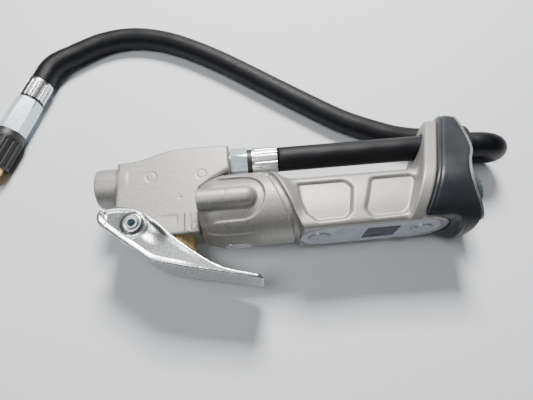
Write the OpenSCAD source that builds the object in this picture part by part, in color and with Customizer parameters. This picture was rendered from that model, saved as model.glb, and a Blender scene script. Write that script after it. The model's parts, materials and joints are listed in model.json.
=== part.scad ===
// Handheld digital tyre inflator, lying on its side, with its hose and its tyre connector.
// X runs from the air inlet (-X) to the battery cap (+X) and Y towards the hose side.
// The object lies on Z = 0, and its middle plane is half of body_thickness above that.

/* [Overall] */
// Length from the inlet face to the battery cap
body_length = 210.5; // [209.5:0.5:211.5]
// Width from the lever's tip to the top of the bumper's loop
body_width = 90.8; // [90.4:0.1:91.6]
// Thickness over the barrel's ribs and the end bumper
body_thickness = 49; // [48.8:0.1:50]

/* [Valve head] */
// Thickness of the flat valve head
head_thickness = 22; // [21:0.5:23]
// Radius of the head's rounded edges
head_edge_r = 3; // [2:0.5:4]
// Diameter of the round inlet boss
inlet_boss_d = 22; // [21:0.5:23]
// Bore of the inlet thread, a G 1/4 female
inlet_bore_d = 11.5; // [11:0.1:12]
// Depth of the inlet thread
inlet_depth = 13; // [11:0.5:14]
// Width across the flats of the brass valve's hexagon
valve_hex_af = 16; // [15:0.5:17]

/* [Lever] */
// Gap between the head and each cheek of the lever
lever_gap = 0.3; // [0.2:0.05:0.5]
// Thickness of the lever's cheeks
lever_wall = 3.2; // [2.8:0.1:3.6]
// Diameter of the lever's roll pin
lever_pin_d = 6; // [5.5:0.5:6.5]

/* [Handle] */
// Diameter of the barrel behind the valve head
barrel_d = 40.4; // [40:0.1:41]
// Thickness of the hand grip
grip_thickness = 34; // [33:0.5:35]
// Width of the narrow loop that the hose passes through
loop_width = 19.4; // [19:0.1:19.6]
// Lean of the end flange from upright
flange_lean = 23.7; // [23:0.1:24.5]
// Depth of the two pockets in each side of the grip
pocket_depth = 2; // [1:0.5:2.5]

/* [Display] */
// Width of the display panel, across the handle
panel_width = 28; // [26:1:29]
// Travel of the two push buttons
button_travel = 0.8; // [0.5:0.1:1]

/* [Battery] */
// Diameter of the battery
battery_d = 14.5; // [14:0.1:14.5]
// Length of the battery
battery_length = 50.5; // [49.5:0.5:50.5]
// Diameter of the battery cap's head
cap_d = 19.6; // [19:0.1:20]

/* [Hose and connector] */
// Outside diameter of the hose
hose_d = 14.4; // [14:0.1:14.6]
// Width across the flats of the hose nuts
hose_nut_af = 15; // [14.5:0.1:15.5]
// Outside diameter of the crimped ferrules
ferrule_d = 15.8; // [15.4:0.1:16]
// Outside diameter of the tyre connector's rubber grip
grip_d = 19.4; // [19:0.1:20]

/* [Hidden] */
$fn = 64;
mid_z = body_thickness / 2;
cap_end_x = 107.5;
lever_tip_y = -43.6;
shift_x = body_length / 2 - cap_end_x;
shift_y = -body_width / 2 - lever_tip_y;
half_head = head_thickness / 2;
half_grip = grip_thickness / 2;
fit_gap = 0.05;
cut = 1;

// Valve head: places of its features in the middle plane
inlet_x = cap_end_x - body_length;
inlet_y = 17.8;
head_left_x = -90.8;
head_right_x = -29.2;
head_back_x = -46.2;
head_low_y = -16.5;
pivot = [-79.8, -9.8];
pivot_lug_r = 6.8;
valve_x = -58.5;
seat_y = 10;
stem_tip_y = -29.35;
head_screw_y = [-11, -3.6];
head_screw_l = 4;
front_wall = 6;
filter_t = 2;
sensor_y = 4;
seal_t = 1.5;
outlet_y = 27.8;
head_top = [[-90.8, 28], [-82, 28.6], [-74.5, 30.3], [-67, 32.7], [-60, 34.2], [-46, 34.6], [-29.2, 34.2]];
head_low = [[-29.2, 18.9], [-33, 17], [-40, 13], [-46.2, 8], [-46.2, -16.5], [-72, -16.5], [-86.6, -9], [-90.8, 0]];

// Lever: half width inside and outside, and its side outline
lever_in = half_head + lever_gap;
lever_out = lever_in + lever_wall;
lever_rim = 0.8;
lever_boss_r = 5.4;
blade_half = 12.4;
lever_top = [[-98.4, -4], [-96.8, -1.2], [-92, 0.2], [-87, 0.3], [-81.8, -0.6], [-74, -4.4], [-66.6, -10.2],
    [-58.8, -18.2], [-46, -28.7], [-39.8, -33], [-33, -36.3], [-24, -38.9], [-16.3, -40.9]];
lever_low = [[-15, lever_tip_y], [-34, -39], [-54, -34.4], [-66.5, -31], [-72.4, -28.4], [-78.5, -23.6],
    [-86, -17.8], [-92.8, -12.2], [-97.2, -8.2], [-98.4, -4]];
blade_inside = [[-95.6, 4], [-95.6, -4], [-94.4, -7.2], [-90.6, -11], [-84, -15.8], [-77, -20.5], [-71, -24.6],
    [-65.4, -27.7], [-54, -31.9], [-33, -36.6], [-20, -39.6], [-10, -36], [-10, 4]];

// Handle: its axis, its length stations and the end flange
handle_y = -2.1;
bumper_y = -3.7;
barrel_r = barrel_d / 2;
shoulder_r = 15.4;
barrel_l = 49;
grip_end_x = 76;
grip_low_y = -21.7;
housing_top_y = -14.7;
grip_top_y = 10;
grip_corner_r = 6;
rib_r = 5.5;
rib_end_x = -16;
recess_r = 13;
flange_t = 7;
bumper_r = body_thickness / 2;
loop_r = loop_width / 2;
loop_top_y = 44.2 - loop_r;
flank_inset = 0.05;
bumper_top_y = body_width + lever_tip_y;
hose_hole_r = hose_d / 2 + 0.2;
flange_x = 81.7;
plate_screw = [[-18, 0, 97.2, 18], [12.6, 13, 101.4, 26], [12.6, -13, 101.4, 26]];
end_plate_x = 106.7;
grommet_r = 11.2;
end_plate_t = 1.4;
end_line = [[86, -28.8], [92, -28.4], [95.6, -26.6], [97, -23.4], [95.6, -18.4], [93.6, -12.6], [92.8, -6],
    [93.8, 1], [96.6, 7.4], [100.2, 13.6], [102.2, 20], [103.4, 28], [104.1, 36], [103.8, 42], [101.8, 46], [98, 48]];

// Display panel in the low face of the grip
panel_x = 6;
panel_end_x = 82;
panel_r = panel_width / 2;
panel_t = 1.6;
button_x = [16, 72];
button_r = 6;
window_x = [40.5, 58.5];
window_half = 8.5;

// Battery and its cap
battery_y = handle_y;
battery_x = 42;
battery_bore_r = battery_d / 2 + 0.4;
cap_r = cap_d / 2;
cap_plug_r = 8.55;
cap_head_x = cap_end_x - 3;
cap_plug_x = battery_x + battery_length + 3.1;
hub_x = cap_head_x - 1.5;
hub_r = 11.2;

// Hose fittings on the valve head's outlet
nut_x = -28.6;
ring_x = -19.2;
ferrule_x = -16.4;
hose_x = -2;
hose_tail_r = 4;

// End fitting and tyre connector: start point, heading and stations along it
end_fit = [-157, 110.4, grip_d / 2];
end_turn = -110;
end_ferrule_l = 14;
end_ring_l = 2;
end_nut_l = 25;
grip_l = 34;
valve_bore_r = 5.6;
valve_seal_r = 6.2;
valve_seal_t = 3;
nut_start = end_ferrule_l + end_ring_l;
body_start = nut_start + end_nut_l;
clip_l = body_start + grip_l - 5;

// Route of the hose's centre line
hose_route = [
    [-2, 27.8, 24.5], [44, 27.8, 24.5], [96, 27.8, 24.5], [106, 27.8, 24.5], [110.4, 27.8, 24.5],
    [114.46, 27.36, 24.81], [118.71, 26.65, 25.43], [123.48, 25.96, 25.22], [127.76, 25.66, 23.35],
    [130.8, 25.95, 19.91], [131.91, 26.91, 15.55], [130.81, 28.49, 11.34], [127.78, 30.46, 8.38],
    [123.58, 32.57, 7.25], [118.49, 34.81, 7.4], [114.4, 36.8, 7.2], [109.6, 39.2, 7.2],
    [104, 41.6, 7.2], [97, 43.4, 7.2], [88, 44.7, 7.2], [76, 48, 7.2], [60, 55.2, 7.2], [44, 64, 7.2],
    [26, 77, 7.2], [8, 90.6, 7.2], [-12, 106, 7.2], [-32, 121, 7.2], [-52, 134, 7.2],
    [-70, 143.4, 7.2], [-88, 148.8, 7.2], [-104, 149.6, 7.2], [-119, 146.2, 7.4], [-132, 139.6, 7.8],
    [-137.94, 135.81, 8.1], [-144.06, 131.87, 8.75], [-149.37, 127.32, 9.4], [-152.9, 121.68, 9.7],
    [-154.26, 117.92, 9.7], [-155.63, 114.16, 9.7], [-157, 110.4, 9.7]];
hose_sides = 10;

// Catmull-Rom curve through a list of points
function curve_point(p, i, t) =
    let (a = p[max(i - 1, 0)], b = p[i], c = p[i + 1], d = p[min(i + 2, len(p) - 1)])
    (2 * b + (c - a) * t + (2 * a - 5 * b + 4 * c - d) * t * t + (3 * b - a - 3 * c + d) * t * t * t) / 2;
function curve(p, steps) =
    concat([for (i = [0 : len(p) - 2], k = [0 : steps - 1]) curve_point(p, i, k / steps)], [p[len(p) - 1]]);

// Ring of points round a route at point i, square to the route's heading
function heading(p, i) =
    let (d = p[min(i + 1, len(p) - 1)] - p[max(i - 1, 0)])
    d / norm(d);
function ring(p, i, r, sides) =
    let (h = heading(p, i), s = cross(h, [0, 1, 0.35]), u = s / norm(s), v = cross(h, u))
    [for (k = [0 : sides - 1]) p[i] + r * (cos(360 * k / sides) * u + sin(360 * k / sides) * v)];

module placed() {
    translate([shift_x, shift_y, 0])
        children();
}

module lying() {
    translate([shift_x, shift_y, mid_z])
        children();
}

module along_x(x, y, z = 0) {
    translate([x, y, z])
        rotate([0, 90, 0])
            children();
}

module along_y(x, y, z = 0) {
    translate([x, y, z])
        rotate([-90, 0, 0])
            children();
}

// Flat outline in X and Y, extruded the same distance up and down
module slab(half) {
    translate([0, 0, -half])
        linear_extrude(2 * half)
            children();
}

// Outline in Y and Z, extruded along X
module bar(x0, x1) {
    translate([x0, 0, 0])
        rotate([90, 0, 90])
            linear_extrude(x1 - x0)
                children();
}

// Outline in X and Z, extruded along Y
module sheet(y0, y1) {
    translate([0, y1, 0])
        rotate([90, 0, 0])
            linear_extrude(y1 - y0)
                children();
}

module hexagon(af) {
    circle(d = af / cos(30), $fn = 6);
}

module tube(r_out, r_in, h) {
    difference() {
        cylinder(r = r_out, h = h);
        translate([0, 0, -cut])
            cylinder(r = r_in, h = h + 2 * cut);
    }
}

module rounded_rect(x0, x1, y0, y1, r) {
    translate([x0 + r, y0])
        square([x1 - x0 - 2 * r, y1 - y0]);
    translate([x0, y0 + r])
        square([x1 - x0, y1 - y0 - 2 * r]);
    for (x = [x0 + r, x1 - r], y = [y0 + r, y1 - r])
        translate([x, y])
            circle(r = r);
}

// Sweep of a round section along a route
module swept(route, r, sides) {
    rings = len(route);
    polyhedron(
        points = [for (i = [0 : rings - 1]) each ring(route, i, r, sides)],
        faces = concat(
            [[for (k = [0 : sides - 1]) k]],
            [for (i = [0 : rings - 2], k = [0 : sides - 1])
                let (a = i * sides + k, b = i * sides + (k + 1) % sides)
                each [[a, a + sides, b + sides], [a, b + sides, b]]],
            [[for (k = [sides - 1 : -1 : 0]) (rings - 1) * sides + k]]),
        convexity = 10);
}

// Coil spring of round wire, standing on Z = 0
module coil(r, wire, h, turns) {
    steps = 14;
    route = [for (i = [0 : turns * steps])
        let (a = 360 * i / steps)
        [r * cos(a), r * sin(a), wire / 2 + (h - wire) * i / (turns * steps)]];
    swept(route, wire / 2, 6);
}

// ---------------------------------------------------------------- valve head

module head_outline() {
    polygon(concat(curve(head_top, 6), head_low));
    translate(pivot)
        circle(r = pivot_lug_r);
}

module valve_body() {
    color("lightgray") lying() difference() {
        union() {
            // Cast head with rounded edges, built up in thin layers
            for (a = [0 : 18 : 90])
                slab(half_head - head_edge_r * (1 - cos(a)))
                    offset(delta = -head_edge_r * (1 - sin(a)))
                        head_outline();
            along_x(inlet_x, inlet_y)
                cylinder(d = inlet_boss_d, h = head_left_x + 4 - inlet_x);
            along_x(head_right_x - 12, outlet_y)
                cylinder(r = 7.6, h = 12);
            // Low pad on each side, beside the valve
            slab(half_head + 0.5)
                rounded_rect(-54, head_back_x - 0.4, head_low_y + 0.4, -5, 1);
        }
        barrel(0.25);
        // Inlet thread, filter seat and air passage
        along_x(inlet_x - cut, inlet_y)
            cylinder(d = inlet_bore_d, h = inlet_depth + cut);
        along_x(inlet_x, inlet_y)
            cylinder(r = 5, h = inlet_depth + filter_t);
        along_x(inlet_x, inlet_y)
            cylinder(r = 3, h = valve_x - inlet_x);
        // Valve chamber, drilled from the low side
        along_y(valve_x, head_low_y - cut)
            cylinder(r = 7, h = 10 + cut);
        along_y(valve_x, head_low_y)
            cylinder(r = 6, h = seat_y + 2 - head_low_y);
        along_y(valve_x, seat_y)
            cylinder(r = 5, h = 16);
        // Passage to the pressure sensor, and up to the outlet
        along_x(valve_x, sensor_y)
            cylinder(r = 1.5, h = head_back_x - valve_x + cut);
        along_y(-50.4, sensor_y)
            cylinder(r = 1.5, h = outlet_y - sensor_y);
        along_x(-50.4, outlet_y)
            cylinder(r = 3, h = 10);
        along_x(head_right_x - 12, outlet_y)
            cylinder(r = 6 + fit_gap, h = 12 + cut);
        // Lever pin and the two screws from the handle
        translate([pivot[0], pivot[1], -half_head - cut])
            cylinder(r = lever_pin_d / 2 + fit_gap, h = head_thickness + 2 * cut);
        for (s = head_screw_y)
            along_x(head_back_x - head_screw_l - 0.6, s)
                cylinder(r = 2, h = head_screw_l + 0.6 + cut);
        along_x(head_back_x - seal_t, sensor_y)
            cylinder(r = 3.4 + fit_gap, h = seal_t + cut);
        // Shallow rings left by the casting's ejector pins
        for (side = [-1, 1], p = [[-72, 17.6, 3], [-44.8, 17, 2.8], [-49.2, -13.9, 2.5]])
            translate([p[0], p[1], side * half_head])
                rotate([0, side < 0 ? 180 : 0, 0])
                    translate([0, 0, -0.35])
                        tube(p[2], p[2] - 0.6, cut);
    }
}

module inlet_filter() {
    color("tan") lying()
        along_x(inlet_x + inlet_depth, inlet_y)
            cylinder(r = 5 - fit_gap, h = filter_t);
}

module valve_cartridge() {
    color("goldenrod") lying() difference() {
        union() {
            along_y(valve_x, head_low_y - 6)
                linear_extrude(6)
                    rotate(30)
                        hexagon(valve_hex_af);
            along_y(valve_x, head_low_y - 7.3)
                cylinder(r = 4.6, h = 3);
            along_y(valve_x, head_low_y)
                cylinder(r = 7 - fit_gap, h = 8.5);
            along_y(valve_x, head_low_y)
                cylinder(r = 6 - fit_gap, h = seat_y - head_low_y);
        }
        along_y(valve_x, head_low_y - 9)
            cylinder(r = 2 + fit_gap, h = 30);
        along_y(valve_x, -4)
            cylinder(r = 3.6, h = 12);
        along_y(valve_x, 0)
            cylinder(r = 3, h = 11);
        along_x(valve_x - 8, sensor_y)
            cylinder(r = 1.5, h = 16);
        along_y(valve_x, head_low_y + 4)
            tube(8, 5.2, 2);
        along_y(valve_x, -5.5)
            cylinder(r = 3.4, h = 2);
    }
}

module cartridge_seal() {
    color("black") lying()
        along_y(valve_x, head_low_y + 4)
            tube(7 - fit_gap, 5.2 + fit_gap, 2);
}

module valve_stem() {
    color("silver") lying() {
        along_y(valve_x, stem_tip_y)
            cylinder(r = 2, h = seat_y - stem_tip_y + 0.2);
        along_y(valve_x, seat_y + fit_gap)
            cylinder(r = 4.2, h = 2.4);
        along_y(valve_x, seat_y + 2.4)
            cylinder(r = 2, h = 3);
    }
}

module stem_seal() {
    color("black") lying()
        along_y(valve_x, -5.5)
            tube(3.4 - fit_gap, 2 + fit_gap, 1.5);
}

module valve_spring() {
    color("silver") lying()
        along_y(valve_x, seat_y + 2.6)
            coil(3.6, 0.9, 13.2, 6);
}

module lever_outline() {
    polygon(concat(curve(lever_top, 5), curve(lever_low, 5)));
}

module lever() {
    color("silver") lying() difference() {
        union() {
            intersection() {
                slab(lever_out)
                    lever_outline();
                // Plan of the blade, which narrows a little to its tip
                sheet(-60, 10) {
                    translate([-104, -lever_out - cut])
                        square([40, 2 * (lever_out + cut)]);
                    polygon([[-65, -lever_out], [-65, lever_out], [-20, blade_half], [-15, blade_half - 3],
                        [-15, 3 - blade_half], [-20, -blade_half]]);
                }
            }
            // Raised rim along the cheek's upper edge
            intersection() {
                slab(lever_out + lever_rim)
                    difference() {
                        lever_outline();
                        offset(delta = -1.6)
                            lever_outline();
                        translate([-104, -60])
                            square([104, 26]);
                        polygon([[-104, -60], [-104, 0], [-54, -36], [-54, -60]]);
                    }
                sheet(-60, 10)
                    translate([-104, -30])
                        square([62, 60]);
            }
            translate([pivot[0], pivot[1], -lever_out - 1.4])
                cylinder(r = lever_boss_r, h = 2 * lever_out + 2.8);
        }
        // Inside of the channel, which straddles the head
        slab(lever_in)
            polygon(blade_inside);
        // Hollow in each cheek, behind the pivot
        for (side = [-1, 1])
            translate([0, 0, side * (lever_out + 0.3)])
                slab(1.3)
                    difference() {
                        polygon([[-72, -9], [-66.5, -13.5], [-60, -21], [-54, -26], [-48, -31], [-60, -30],
                            [-70, -25.6], [-76, -20]]);
                        translate(pivot)
                            circle(r = lever_boss_r + 1.2);
                    }
        translate([pivot[0], pivot[1], -mid_z])
            cylinder(r = lever_pin_d / 2 + fit_gap, h = body_thickness);
    }
}

module lever_pin() {
    color("gray") lying()
        translate([pivot[0], pivot[1], -lever_out - 1.6])
            tube(lever_pin_d / 2, lever_pin_d / 2 - 0.9, 2 * lever_out + 3.2);
}

module head_screws() {
    color("dimgray") lying()
        for (s = head_screw_y) {
            along_x(head_back_x - head_screw_l, s)
                cylinder(r = 2 - fit_gap, h = head_screw_l + front_wall);
            along_x(head_back_x + front_wall, s)
                difference() {
                    cylinder(r = 3.2, h = 4);
                    translate([0, 0, 2])
                        linear_extrude(4)
                            hexagon(3);
                }
        }
}

// ------------------------------------------------------------- pressure sensor

module sensor_seal() {
    color("black") lying()
        along_x(head_back_x - seal_t, sensor_y)
            tube(3.4, 1.7, seal_t);
}

module pressure_sensor() {
    color("silver") lying() {
        along_x(head_back_x, sensor_y)
            tube(2.6, 1, front_wall);
        along_x(head_back_x + front_wall, sensor_y)
            cylinder(r = 4.2, h = 5);
    }
}

// ------------------------------------------------------------------- handle

// Long body whose end view is a wide round base that narrows to a small round top
module end_body(base_r, r, top) {
    lean = asin((base_r - r) / (top - r - bumper_y));
    along_x(50, bumper_y)
        cylinder(r = base_r, h = 62);
    along_x(50, top - r)
        cylinder(r = r, h = 62);
    bar(50, 112)
        polygon([for (p = [[bumper_y, base_r, 1], [top - r, r, 1], [top - r, r, -1], [bumper_y, base_r, -1]])
            [p[0] + (p[1] - flank_inset) * sin(lean), p[2] * (p[1] - flank_inset) * cos(lean)]]);
}

module flange_body() {
    intersection() {
        end_body(bumper_r - 0.4, loop_r, loop_top_y + loop_r);
        translate([50, grip_low_y, -mid_z])
            cube([62, 120, body_thickness]);
    }
}

module bumper_body() {
    end_body(bumper_r, loop_r + 0.2, bumper_top_y);
}

// Leaning band in side view, from x0 to x1 at the height of the hose
module leaning_band(x0, x1) {
    rise = tan(flange_lean);
    polygon([for (p = [[x0, -40], [x1, -40], [x1, 60], [x0, 60]]) [p[0] + rise * (p[1] - outlet_y), p[1]]]);
}

module grip_section() {
    rounded_rect(grip_low_y, 0, -half_grip, half_grip, 3);
    rounded_rect(-10, grip_top_y, -half_grip, half_grip, grip_corner_r);
}

// Round shoulder and barrel behind the valve head, grown for the space that the head leaves it
module barrel(grow) {
    along_x(head_back_x, handle_y)
        rotate_extrude()
            polygon([[0, 0], [shoulder_r + grow, 0], [shoulder_r + 2.4 + grow, 4.5], [barrel_r - 1 + grow, 9],
                [barrel_r + grow, 13], [barrel_r + grow, barrel_l - 3], [barrel_r - 3, barrel_l], [0, barrel_l]]);
}

module handle() {
    color("silver") lying() difference() {
        union() {
            barrel(0);
            // Rib with a round end on each side of the barrel
            for (side = [-1, 1])
                intersection() {
                    union() {
                        along_x(head_back_x, handle_y, side * (mid_z - rib_r))
                            cylinder(r = rib_r, h = rib_end_x - rib_r - head_back_x);
                        translate([rib_end_x - rib_r, handle_y, side * (mid_z - rib_r)])
                            sphere(r = rib_r);
                    }
                    translate([-60, -40, -mid_z])
                        cube([60, 80, body_thickness]);
                }
            // Grip, and the housing of the display at its end
            bar(-6, grip_end_x + 12)
                grip_section();
            // End flange
            intersection() {
                flange_body();
                slab(mid_z)
                    leaning_band(flange_x, flange_x + flange_t);
            }
        }
        // Shallow recess round each rib
        for (side = [-1, 1])
            translate([0, 0, side * (barrel_r + 8)])
                difference() {
                    slab(10.5) {
                        translate([rib_end_x - 8, handle_y])
                            circle(r = recess_r);
                        translate([-60, handle_y - recess_r])
                            square([52 + rib_end_x, 2 * recess_r]);
                    }
                    translate([0, 0, -side * (barrel_r + 8)])
                        rib_keep(side);
                }
        // Slanted groove between the barrel and the grip
        for (side = [-1, 1])
            translate([0, 0, side * (barrel_r + 8)])
                slab(12)
                    polygon([[-10.6, 16], [-7.6, 16], [2, -24], [-1, -24]]);
        // Two pockets in each side of the grip
        for (side = [-1, 1])
            translate([0, 0, side * (half_grip + 5)])
                slab(5 + pocket_depth) {
                    pocket([[3.6, 4.4], [31.2, 4.2], [34.6, 0], [30.6, -14.4], [28, -17.2], [13.4, -17.4], [8, -13]]);
                    pocket([[46.4, 4.2], [39, -15], [41.4, -17.6], [58, -17.4], [62.6, -13.4], [70.4, 4.2]]);
                }
        // Round end of the display housing
        difference() {
            translate([grip_end_x - 7, grip_low_y - cut, -mid_z])
                cube([30, grip_top_y - grip_low_y + 20, body_thickness]);
            sheet(grip_low_y - 2 * cut, housing_top_y)
                translate([grip_end_x - 7, 0])
                    circle(r = half_grip);
            intersection() {
                flange_body();
                slab(mid_z)
                    leaning_band(flange_x - 30, flange_x + flange_t);
            }
        }
        // Bore for the hose
        along_x(40, outlet_y)
            cylinder(r = hose_hole_r, h = 80);
        // Inside: barrel hollow, battery bore and electronics pocket
        along_x(head_back_x + front_wall, handle_y)
            cylinder(r1 = 12.6, r2 = barrel_r - 6.4, h = 13);
        along_x(head_back_x + front_wall + 13 - fit_gap, handle_y)
            cylinder(r = barrel_r - 6.4, h = 22);
        along_x(battery_x - 3, battery_y)
            cylinder(r = battery_bore_r, h = 120);
        along_x(-8, battery_y)
            cylinder(r = 3, h = 60);
        translate([6, grip_low_y + 4, -12.4])
            cube([72, 7, 24.8]);
        // Seat of the display panel, and the window through to the electronics
        sheet(grip_low_y - cut, grip_low_y + panel_t + 0.8)
            panel_outline(0.15);
        sheet(grip_low_y, grip_low_y + 5)
            panel_outline(-2.4);
        // Holes for the sensor and the screws to the valve head
        along_x(head_back_x - cut, sensor_y)
            cylinder(r = 2.6 + fit_gap, h = front_wall + 2 * cut);
        for (s = head_screw_y)
            along_x(head_back_x - cut, s)
                cylinder(r = 2.2, h = front_wall + 2 * cut);
        // Threaded holes for the end plate's screws
        for (p = plate_screw)
            along_x(p[2] - p[3] - 0.4, p[0], p[1])
                cylinder(r = 1.25, h = 40);
    }
}

// Rib and its round end, kept when the recess is cut
module rib_keep(side) {
    along_x(-70, handle_y, side * (mid_z - rib_r))
        cylinder(r = rib_r + 0.01, h = rib_end_x - rib_r + 70);
    translate([rib_end_x - rib_r, handle_y, side * (mid_z - rib_r)])
        sphere(r = rib_r + 0.01);
}

module pocket(p) {
    offset(r = 2.5)
        offset(delta = -2.5)
            polygon(p);
}

module badge_plate() {
    color("gainsboro") lying()
        intersection() {
            along_x(-40, handle_y)
                tube(barrel_r + 0.5, barrel_r, 26);
            translate([-27.6, handle_y, 0])
                rotate([90, 0, 0])
                    linear_extrude(40)
                        rounded_rect(-7, 7, -3.5, 3.5, 3.49);
        }
}

// Everything beyond the end face, in side view
module beyond_end(t) {
    translate([t, 0])
        polygon(concat(curve(end_line, 4), [[99, 60], [150, 60], [150, -60], [86, -60]]));
}

module bumper_side() {
    difference() {
        leaning_band(flange_x + flange_t, flange_x + flange_t + 60);
        beyond_end(0);
        // Clear of the display's face below the housing
        polygon([[50, -40], [50, grip_low_y], [83, grip_low_y], [86.4, grip_low_y - 1.4], [88, -26], [88.4, -40]]);
    }
}

module end_bumper() {
    color("dimgray") lying() difference() {
        intersection() {
            bumper_body();
            slab(mid_z)
                bumper_side();
        }
        // Notch round the end of the display housing
        sheet(-40, housing_top_y + 0.2) {
            translate([50, -half_grip - 0.2])
                square([grip_end_x - 57, 2 * half_grip + 0.4]);
            translate([grip_end_x - 7, 0])
                circle(r = half_grip + 0.2);
        }
        // Room for the end of the circuit board
        sheet(housing_top_y, -10.7)
            translate([60, -12.4])
                square([grip_end_x - 60, 24.8]);
        along_x(60, outlet_y)
            cylinder(r = hose_hole_r, h = 60);
        along_x(60, battery_y)
            cylinder(r = battery_bore_r, h = 60);
        along_x(cap_plug_x - 0.4, battery_y)
            cylinder(r = cap_plug_r + 0.4, h = 20);
        for (p = plate_screw)
            along_x(60, p[0], p[1])
                cylinder(r = 1.6, h = 60);
    }
}

module end_plate() {
    color("silver") lying() difference() {
        union() {
            intersection() {
                bumper_body();
                slab(mid_z)
                    intersection() {
                        difference() {
                            beyond_end(0.02);
                            beyond_end(end_plate_t);
                        }
                        translate([50, -24])
                            square([80, 67]);
                    }
            }
            // Hub that the battery cap screws into
            intersection() {
                along_x(86, battery_y)
                    cylinder(r = hub_r, h = hub_x - 86);
                slab(mid_z)
                    beyond_end(0.02);
            }
        }
        along_x(60, outlet_y)
            cylinder(r = hose_hole_r, h = 60);
        along_x(60, battery_y)
            cylinder(r = cap_plug_r + fit_gap, h = 60);
        for (p = plate_screw) {
            along_x(60, p[0], p[1])
                cylinder(r = 1.6, h = 60);
            along_x(p[2], p[0], p[1])
                cylinder(r = 2.7, h = 20);
        }
    }
}

module end_plate_screws() {
    color("gray") lying()
        for (p = plate_screw) {
            along_x(p[2] - p[3], p[0], p[1])
                cylinder(r = 1.2, h = p[3]);
            along_x(p[2], p[0], p[1])
                difference() {
                    cylinder(r1 = 2.6, r2 = 2.2, h = 1.6);
                    translate([0, 0, 0.8])
                        linear_extrude(2)
                            square([0.8, 3.4], center = true);
                }
        }
}

// ------------------------------------------------------------------ display

module panel_outline(grow) {
    translate([panel_x + panel_r, 0])
        circle(r = panel_r + grow);
    translate([panel_end_x - panel_r, 0])
        circle(r = panel_r + grow);
    translate([panel_x + panel_r, -panel_r - grow])
        square([panel_end_x - panel_x - 2 * panel_r, 2 * (panel_r + grow)]);
}

module circuit_board() {
    color("darkgreen") lying()
        translate([10, grip_low_y + 7.2, -12])
            cube([65.5, 1.6, 24]);
}

module lcd() {
    color("darkslategray") lying()
        translate([window_x[0] - 3, grip_low_y + 4.2, -10.5])
            cube([window_x[1] - window_x[0] + 6, 2.8, 21]);
}

module display_panel() {
    color("lightsteelblue") lying() difference() {
        sheet(grip_low_y + 0.2, grip_low_y + 0.2 + panel_t)
            panel_outline(0);
        sheet(grip_low_y - cut, grip_low_y + 4)
            translate([window_x[0], -window_half])
                square([window_x[1] - window_x[0], 2 * window_half]);
        for (x = button_x)
            along_y(x, grip_low_y - cut)
                cylinder(r = button_r + 0.15, h = 5);
    }
}

module display_lens() {
    color([0.2, 0.25, 0.3, 0.5]) lying()
        translate([window_x[0] + fit_gap, grip_low_y + 0.3, -window_half + fit_gap])
            cube([window_x[1] - window_x[0] - 2 * fit_gap, 1.4, 2 * (window_half - fit_gap)]);
}

module panel_gasket() {
    color("black") lying()
        sheet(grip_low_y + 0.2 + panel_t, grip_low_y + panel_t + 0.8)
            difference() {
                panel_outline(0);
                panel_outline(-1.8);
            }
}

module push_button(x) {
    along_y(x, grip_low_y - button_travel / 2)
        cylinder(r = button_r, h = 2 + button_travel / 2);
    along_y(x, grip_low_y + 2)
        cylinder(r = 2, h = 4.2);
}

module power_button() {
    color("lightgray") lying()
        push_button(button_x[0]);
}

module mode_button() {
    color("lightgray") lying()
        push_button(button_x[1]);
}

// ------------------------------------------------------------------ battery

module battery_contact() {
    color("goldenrod") lying()
        along_x(battery_x - 2, battery_y)
            cylinder(r = 6, h = 0.8);
}

module battery() {
    color("steelblue") lying() {
        along_x(battery_x, battery_y)
            cylinder(d = battery_d, h = battery_length - 1);
        along_x(battery_x - 1.2, battery_y)
            cylinder(r = 2.7, h = 1.2);
    }
}

module cap_spring() {
    color("goldenrod") lying()
        along_x(battery_x + battery_length - 1 + 0.05, battery_y)
            coil(4.4, 0.8, 2.9, 2);
}

module battery_cap() {
    color("dimgray") lying() difference() {
        union() {
            along_x(cap_plug_x, battery_y)
                cylinder(r = cap_plug_r, h = cap_head_x - cap_plug_x);
            along_x(cap_head_x, battery_y)
                cylinder(r = cap_r, h = cap_end_x - 1 - cap_head_x);
            along_x(cap_end_x - 1, battery_y)
                cylinder(r1 = cap_r, r2 = cap_r - 1, h = 1);
        }
        // Slot for a coin
        translate([cap_end_x - 2, battery_y - 1, -mid_z])
            cube([4, 2, body_thickness]);
    }
}

module cap_seal() {
    color("black") lying()
        along_x(hub_x + fit_gap, battery_y)
            tube(cap_r - 0.4, cap_plug_r + fit_gap, 1.4);
}

// --------------------------------------------------------- hose and fittings

module outlet_adaptor() {
    color("silver") lying()
        along_x(head_right_x - 12, outlet_y) {
            tube(6, 2.5, 12);
            translate([0, 0, 12])
                tube(6.4, 2.5, nut_x - head_right_x);
            translate([0, 0, 12 + nut_x - head_right_x])
                tube(5, 2.5, 6);
        }
}

module outlet_nut() {
    color("silver") lying()
        along_x(nut_x, outlet_y)
            difference() {
                intersection() {
                    linear_extrude(ring_x - nut_x)
                        hexagon(hose_nut_af);
                    cylinder(r1 = 8.9, r2 = 8.2, h = ring_x - nut_x);
                }
                translate([0, 0, -cut])
                    cylinder(r = 5 + fit_gap, h = 20);
            }
}

module nut_ring() {
    color("black") lying()
        along_x(ring_x, outlet_y)
            tube(7.2, hose_tail_r + fit_gap, ferrule_x - ring_x);
}

// Crimped sleeve with flutes round it, standing on Z = 0
module fluted_sleeve(h) {
    difference() {
        cylinder(d = ferrule_d, h = h);
        translate([0, 0, -cut])
            cylinder(r = hose_d / 2 - 0.5, h = h + 2 * cut);
        for (a = [0 : 30 : 330])
            rotate(a)
                translate([ferrule_d / 2 + 0.5, 0, 1.6])
                    cylinder(r = 1.1, h = h);
    }
}

module hose_ferrule() {
    color("gainsboro") lying()
        along_x(ferrule_x, outlet_y)
            fluted_sleeve(hose_x - ferrule_x);
}

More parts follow.
